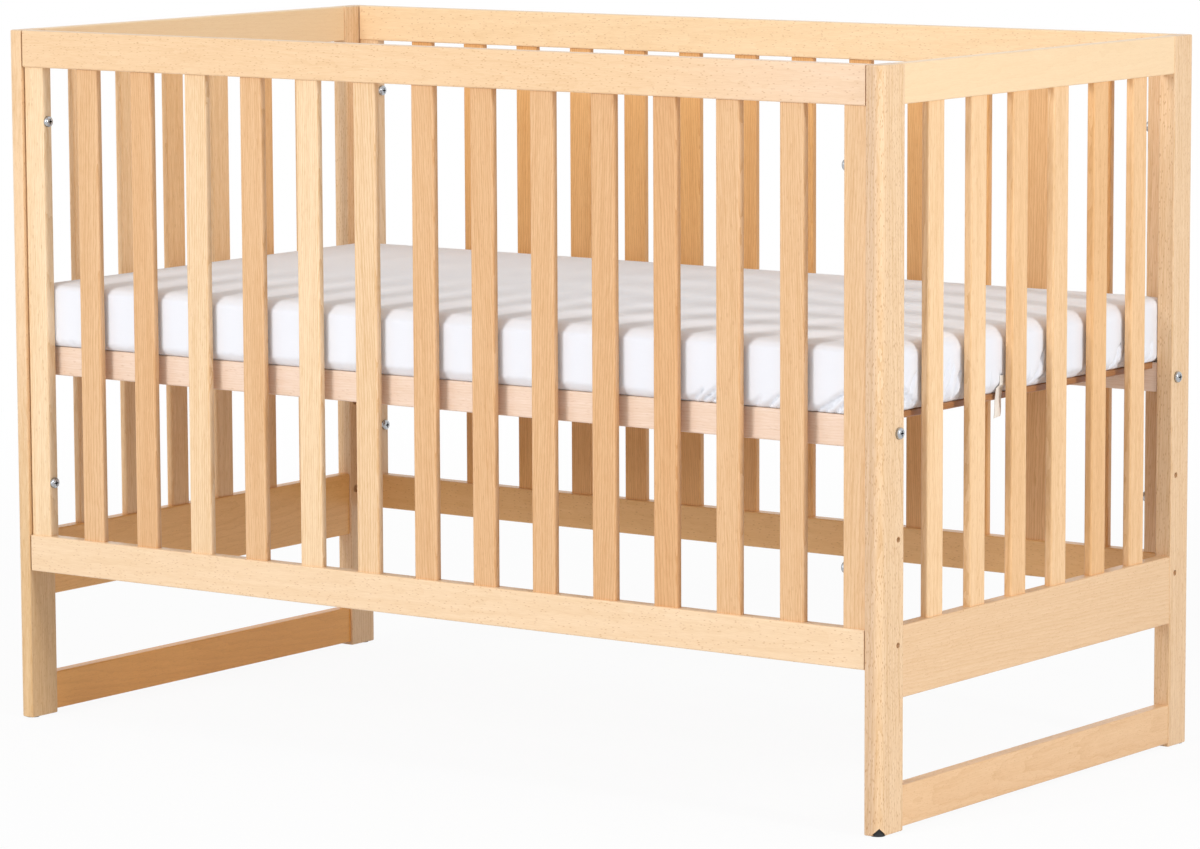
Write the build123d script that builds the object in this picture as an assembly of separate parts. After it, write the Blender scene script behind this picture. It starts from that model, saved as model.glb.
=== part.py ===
# Baby crib in solid beech with a slatted base and a mattress, in millimetres.
# The length runs along X, the front side faces -Y and Z is up.
# The origin lies on the floor under the middle of the crib.
from build123d import *
import os

os.makedirs("parts", exist_ok=True)

# Overall sizes; the crib is made to the length and width of its mattress
mattress_length = 1204.0
mattress_width = 626.0
mattress_end_gap = 2.0       # from the mattress to the plane of the posts' inner faces
mattress_side_gap = 2.5      # from the mattress to the rails of a side panel
outer_height = 838.0         # from the floor to the tops of the posts and rails

# Posts
post_thick = 21.0            # along the length
post_depth = 46.0            # along the width
post_round = 10.0            # the large rounding of the outer vertical corner
post_ease = 1.5

# Foot glides, plastic discs let into the feet
glide_diameter = 16.0
glide_height = 10.0
glide_proud = 1.0            # how far a glide lifts the post off the floor
glide_inset = 12.0           # from the post's front or rear face to the glide's middle
chip_width = 19.0            # the chip at the foot of the front right post
chip_height = 9.0
chip_depth = 7.0

# End panels
end_rail_thick = 17.0
end_rail_setback = 1.0       # behind the posts' outer faces
end_top_height = 44.0
end_bottom_height = 80.0
end_bottom_level = 148.0     # floor to the underside of the wide rail
stretcher_height = 46.0
stretcher_level = 5.0        # floor to the underside of the low stretcher
end_slat_count = 6

# Side panels
side_rail_thick = 18.0
side_rail_setback = 1.5      # behind the posts' front or rear faces
side_rail_height = 44.0
side_bottom_level = 182.5    # floor to the underside of the bottom rail
side_end_gap = 1.5           # between a panel's end and the post
stile_width = 29.0
stile_thick = 15.0
side_slat_count = 13

# Slats and joinery of the panels
slat_width = 32.0
slat_thick = 10.0
slat_round = 2.5
rail_ease = 2.0
stile_ease = 1.5
tenon_length = 12.0
tenon_side = 4.0             # shoulder each side of a tenon, across the width
tenon_cheek = 1.5            # shoulder each side of a tenon, across the thickness
fit_clearance = 0.1          # around tenons, dowels, inserts and pegs in their seats
dowel_diameter = 8.0
dowel_length = 40.0
top_dowels = (12.0, 32.0)    # above the underside of the rail
bottom_dowels = (18.0, 42.0)
stretcher_dowels = (11.0, 33.0)

# Bolts
bolt_diameter = 6.0
bolt_hole = 6.6
bolt_head_diameter = 13.0
bolt_head_height = 4.5
bolt_head_round = 2.6
recess_width = 1.6           # the cross in the bolt head
recess_span = 6.4
recess_depth = 2.4
panel_bolt_margin = 65.0     # from a panel bolt to the nearer rail
panel_bolt_reach = 11.0      # how far a panel bolt enters the post
insert_diameter = 10.0
insert_length = 13.0
thread_bore = 6.2            # bore of the inserts and pegs that the bolts screw into

# Mattress base
base_rail_thick = 18.0
base_rail_height = 35.0
base_rail_ease = 2.0
base_end_gap = 1.0           # between the base and a post
base_side_inset = 26.0       # from the outer width to a base rail
base_level = 421.0           # floor to the underside of the base in its top position
base_slat_count = 12
base_slat_width = 50.0
base_slat_thick = 8.0
base_slat_round = 2.5
base_slat_margin = 6.0       # from the end of the base to the first slat
base_housing = 10.0          # how far a slat enters a rail
base_bolt_rise = 18.5        # from the underside of a rail to its bolt
base_step = 116.0            # between two positions of the base
base_position_count = 3
peg_diameter = 10.0
peg_seat = 6.0               # how far a support peg sits in the post
peg_reach = 12.0             # how far a support peg stands out of the post
peg_end = 2.0                # solid end of a support peg
peg_clearance = 0.3          # around a support peg in the slot of the base

# Mattress and its tie tape
mattress_thick = 78.0
mattress_corner = 16.0
bottom_draw = 6.0            # how far the sides draw in at the underside
bottom_rise = 10.0           # height of the drawn-in part
shoulder_drop = 12.0         # height of the rounded upper edge
shoulder_draw = 3.0
edge_draw = 10.0
crown_rise = 3.0             # height of the crown above the rounded edge
crown_draw = 60.0
tape_width = 12.0
tape_thick = 1.0
tape_gap = 0.2               # between the tape and the end of the mattress
tape_lap = 18.0              # how far the tape reaches up the end of the mattress
tape_drop = 30.0             # how far the tape hangs below the mattress
tape_bend = 18.0             # height of the bent lower end
tape_shift = 9.0             # how far the lower end leans to the front
tape_middle = -58.0

# Planes, levels and rows worked out from the sizes above
post_inner_x = mattress_length / 2 + mattress_end_gap
outer_x = post_inner_x + post_thick
outer_y = mattress_width / 2 + mattress_side_gap + side_rail_thick + side_rail_setback
post_inner_y = outer_y - post_depth
glide_x = outer_x - post_thick / 2
glide_y = outer_y - glide_inset
end_rail_x = outer_x - end_rail_setback - end_rail_thick / 2
end_rail_span = 2 * post_inner_y
end_top_level = outer_height - end_top_height
end_slat_levels = (end_bottom_level + end_bottom_height, end_top_level)
side_rail_y = outer_y - side_rail_setback - side_rail_thick / 2
side_rail_span = 2 * (post_inner_x - side_end_gap)
side_top_level = outer_height - side_rail_height
side_slat_levels = (side_bottom_level + side_rail_height, side_top_level)
stile_x = side_rail_span / 2 - stile_width / 2
stile_inner_x = stile_x - stile_width / 2
stile_y = side_rail_y - side_rail_thick / 2 + stile_thick / 2
panel_bolt_levels = (side_slat_levels[0] + panel_bolt_margin, side_slat_levels[1] - panel_bolt_margin)
base_y = outer_y - base_side_inset - base_rail_thick / 2
base_span = 2 * (post_inner_x - base_end_gap)
base_top = base_level + base_rail_height
base_bolt_levels = [base_level + base_bolt_rise - i * base_step for i in range(base_position_count)]
end_rails = {
    "top_rail": (end_top_level, end_top_height, top_dowels),
    "bottom_rail": (end_bottom_level, end_bottom_height, bottom_dowels),
    "foot_stretcher": (stretcher_level, stretcher_height, stretcher_dowels),
}
crosswise = 90.0             # the turn that sets the width of an upright along Y
ends = {"left": -1, "right": 1}
sides = {"front": -1, "rear": 1}
corners = [(x, y) for x in ends.values() for y in sides.values()]


def save(node, *solids):
    """Write one node, alone or as a group of separate solids."""
    shape = solids[0] if len(solids) == 1 else Compound(children=list(solids))
    export_step(shape, f"parts/{node}.step")


def gapped(count, width, span):
    """Middles of equal pieces with equal gaps between them and at both ends of a span."""
    gap = (span - count * width) / (count + 1)
    return [-span / 2 + gap + width / 2 + i * (width + gap) for i in range(count)]


def spread(count, width, span):
    """Middles of equal pieces with the outer two flush with the ends of a span."""
    pitch = (span - width) / (count - 1)
    return [-span / 2 + width / 2 + i * pitch for i in range(count)]


def rod(diameter, length, start, direction):
    """Cylinder that runs from a start point in a direction."""
    upward = (Align.CENTER, Align.CENTER, Align.MIN)
    return Plane(origin=start, z_dir=direction) * Cylinder(diameter / 2, length, align=upward)


def bar(size, middle, along, ease):
    """Straight bar with its four long edges eased."""
    body = Box(*size)
    return Pos(*middle) * fillet(body.edges().filter_by(along), ease)


def tenon_core(width, thick, levels, clearance):
    """Core of an upright, which runs past its shoulders into both rails."""
    return Box(
        width - 2 * tenon_side + 2 * clearance,
        thick - 2 * tenon_cheek + 2 * clearance,
        levels[1] - levels[0] + 2 * tenon_length + 2 * clearance,
    )


def upright_place(x, y, levels, turn):
    """Where an upright stands and how far it is turned about Z."""
    return Pos(x, y, sum(levels) / 2) * Rot(0, 0, turn)


def upright(width, thick, ease, levels, x, y, turn=0):
    """Slat or stile with its shoulders at two levels and a tenon on each end."""
    body = fillet(Box(width, thick, levels[1] - levels[0]).edges().filter_by(Axis.Z), ease)
    body += tenon_core(width, thick, levels, 0)
    return upright_place(x, y, levels, turn) * body


def mortise(width, thick, levels, x, y, turn=0):
    """Cutter for the two mortises of an upright."""
    return upright_place(x, y, levels, turn) * tenon_core(width, thick, levels, fit_clearance)


def bolt(reach, seat, outward):
    """Pan-head bolt with a cross recess, with its head standing outward from its seat."""
    head = rod(bolt_head_diameter, bolt_head_height, (0, 0, 0), (0, 0, 1))
    head = fillet(head.edges().sort_by(Axis.Z)[-1], bolt_head_round)
    body = head + rod(bolt_diameter, reach, (0, 0, 0), (0, 0, -1))
    for turn in (0, 90):
        slit = Box(recess_span, recess_width, 2 * recess_depth)
        body -= Pos(0, 0, bolt_head_height) * Rot(0, 0, turn) * slit
    return Plane(origin=seat, z_dir=outward) * body


def rail_dowels(side_x, name, clearance):
    """The four dowels of one end rail, two at each post."""
    level, _, offsets = end_rails[name]
    shape = Rot(90, 0, 0) * Cylinder(dowel_diameter / 2 + clearance, dowel_length + 2 * clearance)
    return [
        Pos(side_x * end_rail_x, side_y * post_inner_y, level + offset) * shape
        for side_y in sides.values()
        for offset in offsets
    ]


def post(side_x, side_y):
    """Corner post with its rounded outer corner, bored for dowels, inserts, base bolts and glide."""
    section = Rectangle(post_thick, post_depth)
    outward = section.vertices().sort_by(lambda v: v.X + v.Y)
    section = fillet(outward[:-1], post_ease)
    outward = section.vertices().sort_by(lambda v: v.X + v.Y)
    section = fillet(outward[-1], post_round)
    body = extrude(section, outer_height - glide_proud)
    body = fillet(body.faces().filter_by(Axis.Z).edges(), post_ease)
    body = Pos(outer_x - post_thick / 2, outer_y - post_depth / 2, glide_proud) * body
    along = (1, 0, 0)
    for level in base_bolt_levels:
        body -= rod(bolt_hole, post_thick, (post_inner_x, base_y, level), along)
        body -= rod(peg_diameter + 2 * fit_clearance, peg_seat, (post_inner_x, base_y, level), along)
    for level in panel_bolt_levels:
        seat = (post_inner_x, stile_y, level)
        body -= rod(insert_diameter + 2 * fit_clearance, insert_length, seat, along)
    for name in end_rails:
        body -= rail_dowels(1, name, fit_clearance)
    glide_seat = (glide_x, glide_y, glide_proud)
    body -= rod(glide_diameter, glide_height - glide_proud, glide_seat, (0, 0, 1))
    body = mirror(body, about=Plane.YZ) if side_x < 0 else body
    return mirror(body, about=Plane.XZ) if side_y < 0 else body


def foot_chip():
    """Cutter for the three-cornered chip in the outer corner of the front right foot."""
    crest = post_round * (1 - 0.5 ** 0.5)
    origin = (outer_x - crest, -outer_y + crest, glide_proud)
    face = Plane(origin=origin, x_dir=(1, 1, 0), z_dir=(1, -1, 0))
    outline = Polyline((-chip_width / 2, 0), (chip_width / 2, 0), (0, chip_height), close=True)
    return extrude(face * make_face(outline), chip_depth, both=True)


def end_panel(end, side_x):
    """Three rails and a row of slats between the two posts of one end."""
    slats_y = gapped(end_slat_count, slat_width, end_rail_span)
    places = [(slat_width, slat_thick, end_slat_levels, side_x * end_rail_x, y, crosswise) for y in slats_y]
    for name, (level, height, _) in end_rails.items():
        middle = (side_x * end_rail_x, 0, level + height / 2)
        rail = bar((end_rail_thick, end_rail_span, height), middle, Axis.Y, rail_ease)
        rail -= rail_dowels(side_x, name, fit_clearance)
        if name != "foot_stretcher":
            rail -= [mortise(*place) for place in places]
        save(f"{end}_end_{name}", rail)
    slats = [upright(place[0], place[1], slat_round, *place[2:]) for place in places]
    save(f"{end}_end_slats", *slats)


def side_panel(side, side_y):
    """Two rails, two stiles and a row of slats between the posts of one side."""
    slats_x = gapped(side_slat_count, slat_width, 2 * stile_inner_x)
    slats = [(slat_width, slat_thick, side_slat_levels, x, side_y * side_rail_y) for x in slats_x]
    stiles = {
        end: (stile_width, stile_thick, side_slat_levels, side_x * stile_x, side_y * stile_y)
        for end, side_x in ends.items()
    }
    cutters = [mortise(*place) for place in [*slats, *stiles.values()]]
    for name, level in (("top_rail", side_top_level), ("bottom_rail", side_bottom_level)):
        middle = (0, side_y * side_rail_y, level + side_rail_height / 2)
        rail = bar((side_rail_span, side_rail_thick, side_rail_height), middle, Axis.X, rail_ease)
        save(f"{side}_{name}", rail - cutters)
    for end, place in stiles.items():
        stile = upright(place[0], place[1], stile_ease, *place[2:])
        for level in panel_bolt_levels:
            inner_face = (ends[end] * stile_inner_x, side_y * stile_y, level)
            stile -= rod(bolt_hole, stile_width, inner_face, (ends[end], 0, 0))
        save(f"{side}_{end}_stile", stile)
    for number, place in enumerate(slats, 1):
        save(f"{side}_slat_{number:02d}", upright(place[0], place[1], slat_round, *place[2:]))


def hardware():
    """Dowels, inserts, bolts, support pegs and glides, each kind as one group."""
    dowels = [d for side_x in ends.values() for name in end_rails for d in rail_dowels(side_x, name, 0)]
    save("rail_dowels", *dowels)
    panel_bolts = []
    inserts = []
    base_bolts = []
    pegs = []
    glides = []
    panel_reach = stile_width + side_end_gap + panel_bolt_reach
    base_reach = post_thick + peg_reach - peg_end
    for side_x, side_y in corners:
        outward = (side_x, 0, 0)
        inward = (-side_x, 0, 0)
        for level in panel_bolt_levels:
            panel_bolts.append(bolt(panel_reach, (side_x * stile_inner_x, side_y * stile_y, level), inward))
            seat = (side_x * post_inner_x, side_y * stile_y, level)
            insert = rod(insert_diameter, insert_length, seat, outward)
            inserts.append(insert - rod(thread_bore, insert_length, seat, outward))
        level = base_bolt_levels[0]
        base_bolts.append(bolt(base_reach, (side_x * outer_x, side_y * base_y, level), outward))
        root = (side_x * (post_inner_x + peg_seat), side_y * base_y, level)
        peg = rod(peg_diameter, peg_seat + peg_reach, root, inward)
        pegs.append(peg - rod(thread_bore, peg_seat + peg_reach - peg_end, root, inward))
        glides.append(rod(glide_diameter, glide_height, (side_x * glide_x, side_y * glide_y, 0), (0, 0, 1)))
    save("panel_bolts", *panel_bolts)
    save("panel_inserts", *inserts)
    save("base_bolts", *base_bolts)
    save("base_support_pegs", *pegs)
    save("foot_glides", *glides)


def mattress_base():
    """Two rails that drop over the support pegs, and the cross slats housed in them."""
    slats_x = spread(base_slat_count, base_slat_width, base_span - 2 * base_slat_margin)
    slat_length = 2 * (base_y - base_rail_thick / 2 + base_housing)
    slat_z = base_top - base_slat_thick / 2
    housing = Box(base_slat_width + 2 * fit_clearance, slat_length + 2 * fit_clearance, base_slat_thick)
    housings = [Pos(x, 0, slat_z) * housing for x in slats_x]
    slot_diameter = peg_diameter + 2 * peg_clearance
    slot_reach = peg_reach + peg_clearance
    for side, side_y in sides.items():
        middle = (0, side_y * base_y, base_level + base_rail_height / 2)
        rail = bar((base_span, base_rail_thick, base_rail_height), middle, Axis.X, base_rail_ease)
        rail -= housings
        for side_x in ends.values():
            peg_root = (side_x * post_inner_x, side_y * base_y, base_bolt_levels[0])
            rail -= rod(slot_diameter, slot_reach, peg_root, (-side_x, 0, 0))
            slot = Box(2 * slot_reach, slot_diameter, 2 * base_bolt_rise)
            rail -= Pos(side_x * post_inner_x, side_y * base_y, base_level) * slot
        save(f"base_{side}_rail", rail)
    size = (base_slat_width, slat_length, base_slat_thick)
    save("base_slats", *[bar(size, (x, 0, slat_z), Axis.Y, base_slat_round) for x in slats_x])


def mattress():
    """Cushion with a flat underside, drawn-in lower sides, rounded upper edge and low crown."""
    edge_level = mattress_thick - crown_rise
    outline = [
        (0, bottom_draw),
        (bottom_rise, 0),
        (edge_level - shoulder_drop, 0),
        (edge_level - shoulder_drop / 3, shoulder_draw),
        (edge_level, edge_draw),
        (mattress_thick, crown_draw),
    ]
    sections = []
    for rise, draw in outline:
        section = RectangleRounded(mattress_length - 2 * draw, mattress_width - 2 * draw, mattress_corner)
        sections.append(Pos(0, 0, base_top + rise) * section)
    save("mattress", loft(sections, ruled=True))


def tie_tape():
    """Flat tape of the sheet, hanging at the right end with its lower end bent to the front."""
    top = base_top + tape_lap
    end = base_top - tape_drop
    knee = end + tape_bend
    near = tape_middle - tape_width / 2
    far = tape_middle + tape_width / 2
    outline = Polyline(
        (near, top),
        (far, top),
        (far, knee),
        (far - tape_shift, end),
        (near - tape_shift, end),
        (near, knee),
        close=True,
    )
    face = Plane(origin=(mattress_length / 2 + tape_gap, 0, 0), x_dir=(0, 1, 0), z_dir=(1, 0, 0))
    save("mattress_tie_tape", extrude(face * make_face(outline), tape_thick))


for end, side_x in ends.items():
    for side, side_y in sides.items():
        leg = post(side_x, side_y)
        if (end, side) == ("right", "front"):
            leg -= foot_chip()
        save(f"{side}_{end}_post", leg)
    end_panel(end, side_x)
for side, side_y in sides.items():
    side_panel(side, side_y)
hardware()
mattress_base()
mattress()
tie_tape()
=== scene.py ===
"""Baby crib in clear-lacquered beech with a slatted base and a mattress in a fitted sheet."""
import math
import random

import bmesh
import bpy
import numpy as np
from mathutils import Matrix, Vector
from mathutils.bvhtree import BVHTree


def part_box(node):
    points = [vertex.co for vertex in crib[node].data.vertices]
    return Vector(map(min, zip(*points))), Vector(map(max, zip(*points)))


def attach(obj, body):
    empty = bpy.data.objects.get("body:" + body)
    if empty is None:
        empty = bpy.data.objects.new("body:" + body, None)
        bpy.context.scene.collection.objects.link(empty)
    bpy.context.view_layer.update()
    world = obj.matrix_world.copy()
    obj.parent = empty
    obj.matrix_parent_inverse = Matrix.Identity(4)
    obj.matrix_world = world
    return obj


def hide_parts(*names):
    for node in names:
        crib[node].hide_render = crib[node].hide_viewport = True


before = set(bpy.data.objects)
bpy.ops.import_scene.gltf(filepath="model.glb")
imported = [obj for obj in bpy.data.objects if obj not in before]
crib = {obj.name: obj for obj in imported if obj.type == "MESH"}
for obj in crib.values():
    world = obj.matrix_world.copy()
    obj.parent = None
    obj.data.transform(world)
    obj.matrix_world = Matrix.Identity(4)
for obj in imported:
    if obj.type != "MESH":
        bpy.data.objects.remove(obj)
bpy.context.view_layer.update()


# Shader writing

class Value:
    """A socket of a node tree in the making; arithmetic on it adds Math nodes."""

    def __init__(self, shading, socket):
        self.shading = shading
        self.socket = socket

    def out(self, key):
        """Another output of the same node."""
        return Value(self.shading, self.socket.node.outputs[key])

    def math(self, operation, *others):
        return self.shading.node("Math", {"operation": operation}, dict(enumerate((self, *others))))

    def __add__(self, other):
        return self.math("ADD", other)

    def __sub__(self, other):
        return self.math("SUBTRACT", other)

    def __rsub__(self, other):
        return (self * -1) + other

    def __mul__(self, other):
        return self.math("MULTIPLY", other)

    def __truediv__(self, other):
        return self.math("DIVIDE", other)

    def __pow__(self, other):
        return self.math("POWER", other)

    def __gt__(self, other):
        return self.math("GREATER_THAN", other)

    __radd__ = __add__
    __rmul__ = __mul__


class Shading:
    """The node tree of a material or of the world in the making."""

    def __init__(self, owner):
        owner.use_nodes = True
        self.nodes = owner.node_tree.nodes
        self.links = owner.node_tree.links

    def feed(self, node, inputs):
        for key, value in inputs.items():
            if isinstance(value, Value):
                self.links.new(value.socket, node.inputs[key])
            else:
                node.inputs[key].default_value = value

    def node(self, kind, settings, inputs, output=0):
        """Add a node: its type, its settings, then the values or links of its sockets."""
        made = self.nodes.new("ShaderNode" + kind)
        for key, value in settings.items():
            if key == "stops":
                self.set_stops(made.color_ramp, value)
            else:
                setattr(made, key, value)
        self.feed(made, inputs)
        return Value(self, made.outputs[output])

    @staticmethod
    def set_stops(ramp, stops):
        """Bands of colour, each from its position up to the next."""
        ramp.interpolation = "CONSTANT"
        while len(ramp.elements) < len(stops):
            ramp.elements.new(1.0)
        for element, (position, shade) in zip(ramp.elements, stops):
            element.position = position
            element.color = shade

    def split(self, vector):
        """The three parts of a vector."""
        parts = self.node("SeparateXYZ", {}, {"Vector": vector})
        return [parts.out(axis) for axis in "XYZ"]

    def place(self):
        """The three Object coordinates."""
        return self.split(self.node("TexCoord", {}, {}, "Object"))

    def vector(self, x, y, z):
        return self.node("CombineXYZ", {}, {"X": x, "Y": y, "Z": z})

    def noise(self, spot, detail=2.0, roughness=0.5):
        """Noise about zero, from about -0.5 to 0.5."""
        sockets = {"Vector": spot, "Scale": 1.0, "Detail": detail, "Roughness": roughness}
        return self.node("TexNoise", {}, sockets) - 0.5

    def step(self, value, low, high):
        """Smooth step from 0 at low to 1 at high."""
        sockets = {"Value": value, "From Min": low, "From Max": high}
        return self.node("MapRange", {"interpolation_type": "SMOOTHSTEP"}, sockets)

    def mix(self, share, a, b, blend="MIX"):
        settings = {"data_type": "RGBA", "blend_type": blend, "clamp_factor": True}
        return self.node("Mix", settings, {0: share, 6: a, 7: b}, 2)

    def times(self, tone, shares):
        """A colour with its red, green and blue each multiplied."""
        return self.mix(1.0, tone, (*shares, 1.0), "MULTIPLY")

    def bump(self, height, distance, strength=1.0):
        return self.node("Bump", {}, {"Height": height, "Distance": distance, "Strength": strength})

    def seen(self):
        """1 for a ray that shows the surroundings: to the camera, in gloss or through glass."""
        path = self.node("LightPath", {}, {})
        most = path.out("Is Camera Ray").math("MAXIMUM", path.out("Is Glossy Ray"))
        return most.math("MAXIMUM", path.out("Is Transmission Ray"))


class Paint(Shading):
    """A material in the making."""

    def __init__(self, name):
        self.material = bpy.data.materials.new(name)
        super().__init__(self.material)

    def finish(self, **sockets):
        named = {key.replace("_", " "): value for key, value in sockets.items()}
        self.feed(self.nodes["Principled BSDF"], named)
        return self.material


def colour(red, green, blue):
    """A screen colour, 0 to 255, as the shader's linear colour."""
    share = [c / 255 for c in (red, green, blue)]
    return (*[s / 12.92 if s <= 0.04045 else ((s + 0.055) / 1.055) ** 2.4 for s in share], 1.0)


def between(a, b, share):
    return tuple(p + (q - p) * share for p, q in zip(a, b))


def add(name, data):
    """A new object in the scene."""
    made = bpy.data.objects.new(name, data)
    bpy.context.scene.collection.objects.link(made)
    return made


# Beech

PALE = colour(242, 210, 169)
HONEY = colour(224, 178, 129)
STRAW = colour(250, 219, 176)
WHEAT = colour(242, 204, 160)
AMBER = colour(236, 187, 130)
TOFFEE = colour(229, 177, 117)
CARAMEL = colour(225, 165, 92)
ROSY = colour(244, 219, 199)
ROSY_GREY = colour(220, 186, 150)
X, Y, Z = 0, 1, 2
GRAIN_AXES = {"X": (X, Y, Z), "Y": (Y, X, Z), "Z": (Z, X, Y)}     # along the grain, then across it
RING_PITCH = 0.0029                 # from one year's ring to the next
RING_SWAY = 0.012                   # how far the rings wander from true circles
RAY_DEPTH = 0.006                   # how far a ray fleck reaches towards the pith
LATE_WOOD = (0.86, 0.76, 0.62)      # tone of the deep lines, as shares of a board's own tone
EARLY_WOOD = (1.05, 1.06, 1.09)
RAY_WOOD = (0.6, 0.4, 0.24)
GRAIN_RELIEF = 0.00012
SEED_STRIDE = 1.37                  # moves the pattern along the grain from one board to the next
ROW_STRIDE = 9.0                    # and the most that it moves between the boards of a row
ROW_PITH = 0.08                     # over how far the piths of a row spread


def random_pith(chance):
    """Place of a tree's heart beside the centre of a board sawn from it."""
    turn = chance.choice((0.0, math.pi)) + chance.uniform(-0.8, 0.8)
    reach = chance.uniform(0.045, 0.11)
    return reach * math.cos(turn), reach * math.sin(turn)


def beech(
    name, grain, centre, tone, seed, pith=None, flecks=0.3, row=None, row_tones=None, face=None,
    crowd=0.5, figure=0.4, streaks=1.0, fibres=2.0, fleck_run=0.0115, fleck_wide=0.0009,
):
    """Clear-lacquered beech: rings about a pith, ray flecks, streaks and fibres along the grain.

    grain is the axis that the board runs along, and pith the place of the heart beside its centre.
    row tells the boards of one node apart: axis, pitch and place of the first, with their row_tones.
    face is a change of tone along an axis: the axis, where it starts, where it ends, the second tone.
    flecks is how dark the ray flecks are, crowd the share of them that shows, and fleck_run and
    fleck_wide their size. figure, streaks and fibres are the strengths of the rings, of the broad
    streaks and of the fine ones.
    """
    chance = random.Random(seed)
    pith = pith or random_pith(chance)
    slope = chance.choice((-1, 1)) * chance.uniform(0.015, 0.04)
    paint = Paint(name)
    place = paint.place()
    local = [place[axis] - centre[axis] for axis in (X, Y, Z)]
    lengthwise, first_across, second_across = GRAIN_AXES[grain]
    shift = seed * SEED_STRIDE
    pith_a, pith_b = pith
    if row:
        axis, pitch, first = row
        number = ((place[axis] - first) / pitch + 0.5).math("FLOOR")
        local[axis] = place[axis] - first - number * pitch
        luck = paint.node("TexWhiteNoise", {"noise_dimensions": "1D"}, {"W": number + seed})
        shift = luck * ROW_STRIDE + shift
        pith_a = (luck - 0.5) * ROW_PITH + pith_a
        stops = [(i / len(row_tones), t) for i, t in enumerate(row_tones)]
        tone = paint.node("ValToRGB", {"stops": stops}, {"Fac": (number + 0.5) / len(row_tones)})
    if face:
        axis, near, far, second_tone = face
        tone = paint.mix(paint.step(place[axis], near, far), tone, second_tone)

    along = local[lengthwise] + shift
    sway_spot = paint.vector(local[first_across] * 5, local[second_across] * 5, along * 2.6)
    sway = paint.node("TexNoise", {}, {"Vector": sway_spot, "Scale": 1.0, "Detail": 2.0}, "Color")
    sway_a, sway_b, _ = paint.split(sway)
    a = local[first_across] - pith_a + local[lengthwise] * slope + (sway_a - 0.5) * RING_SWAY
    b = local[second_across] - pith_b + (sway_b - 0.5) * RING_SWAY
    radius = (a * a + b * b).math("SQRT")
    arc = b.math("ARCTAN2", a) * math.hypot(*pith)

    def grain_noise(across, lengthways, detail, roughness=0.5):
        """Noise with so many swings a metre across the grain and along it."""
        return paint.noise(paint.vector(a * across, b * across, along * lengthways), detail, roughness)

    uneven = paint.noise(paint.vector(radius * 130, 0.0, along * 0.4), 1.0)
    ripple = grain_noise(110, 38, 2.0)
    ring = (radius / RING_PITCH + uneven * 1.6 + ripple * 1.1).math("FRACT")
    late = ring ** 3.0
    drift = grain_noise(22, 1.5, 2.0)
    streak = grain_noise(170, 5, 3.0)
    fibre = grain_noise(950, 60, 3.0, 0.6)
    deep = drift * (0.5 * streaks) + streak * (1.1 * streaks) + late * figure + fibre * fibres
    deep = (deep + 0.42 - figure / 4).math("MAXIMUM", 0.0).math("MINIMUM", 1.0)
    wood = paint.mix(deep, paint.times(tone, EARLY_WOOD), paint.times(tone, LATE_WOOD))
    ray_spot = paint.vector(arc / fleck_wide, along / fleck_run, radius / RAY_DEPTH)
    ray = paint.node("TexVoronoi", {}, {"Vector": ray_spot, "Scale": 1.0})
    picked = paint.split(ray.out("Color"))[0] > 1 - crowd
    fleck = (1 - paint.step(ray, 0.12, 0.3)) * picked
    wood = paint.mix(fleck * flecks, wood, paint.times(tone, RAY_WOOD))
    height = fibre * 0.5 - fleck * 0.6 - late * 0.25
    return paint.finish(
        Base_Color=wood,
        Roughness=fleck * 0.1 + streak * 0.12 + 0.4,
        Normal=paint.bump(height, GRAIN_RELIEF, 0.6),
        Coat_Weight=0.22,
        Coat_Roughness=0.22,
    )


# Metal, plastic and cotton

def zinc(name):
    """Bright zinc plating with a faint blue cast, rubbed high spots and painted shade in its recesses.
    """
    paint = Paint(name)
    x, y, z = paint.place()
    cloud = paint.noise(paint.vector(x * 260, y * 260, z * 260), 3.0)
    scratch = paint.noise(paint.vector(x * 1500, y * 1500, z * 300), 2.0)
    tint = paint.mix(cloud + 0.5, colour(158, 161, 165), colour(203, 205, 208))
    # painted shade: ambient occlusion darkens the recesses, such as the sockets of the bolt heads,
    # towards near black
    open_share = paint.node("AmbientOcclusion", {"samples": 8}, {"Distance": 0.003}, "AO")
    tint = paint.mix(paint.step(open_share, 0.35, 0.8), colour(26, 26, 27), tint)
    return paint.finish(
        Base_Color=tint,
        Metallic=1.0,
        Roughness=cloud * 0.2 + scratch * 0.1 + 0.27,
        Normal=paint.bump(scratch, 0.00004, 0.5),
    )


def glide_plastic(name):
    """Black moulded plastic with a fine eggshell grain."""
    paint = Paint(name)
    x, y, z = paint.place()
    grain = paint.noise(paint.vector(x * 1400, y * 1400, z * 1400), 2.0)
    return paint.finish(
        Base_Color=paint.mix(grain + 0.5, colour(22, 22, 24), colour(38, 38, 41)),
        Roughness=grain * 0.2 + 0.5,
        Normal=paint.bump(grain, 0.0001, 0.5),
    )


def woven(name, light, shade, thread, rough, painted_top_tone=None):
    """Plain-woven cotton, its threads along the piece's own UV map in metres.

    The last argument is the tone of what faces up, where that differs: painted light, a tone of its own
    for the light that falls on the top.
    """
    paint = Paint(name)
    u, v, _ = paint.split(paint.node("UVMap", {}, {}))
    slub = paint.noise(paint.vector(u * 40, v * 900, 0.0), 2.0)
    weft = (u * (2 * math.pi / thread)).math("SINE")
    warp = (v * (2 * math.pi / thread)).math("SINE")
    weave = weft * warp
    cloud = paint.noise(paint.vector(u * 9, v * 9, 0.3), 3.0)
    if painted_top_tone:
        # painted light: the cloth that faces up takes its own tone
        upward = paint.split(paint.node("TexCoord", {}, {}, "Normal"))[Z]
        light = paint.mix(paint.step(upward, 0.5, 0.95), light, painted_top_tone)
    return paint.finish(
        Base_Color=paint.mix(weave * 0.25 + slub * 0.5 + cloud * 0.5 + 0.4, light, shade),
        Roughness=slub * 0.1 + rough,
        Normal=paint.bump(weave + slub, thread * 0.12, 0.5),
        Sheen_Weight=0.15,
        Sheen_Roughness=0.5,
    )


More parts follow.
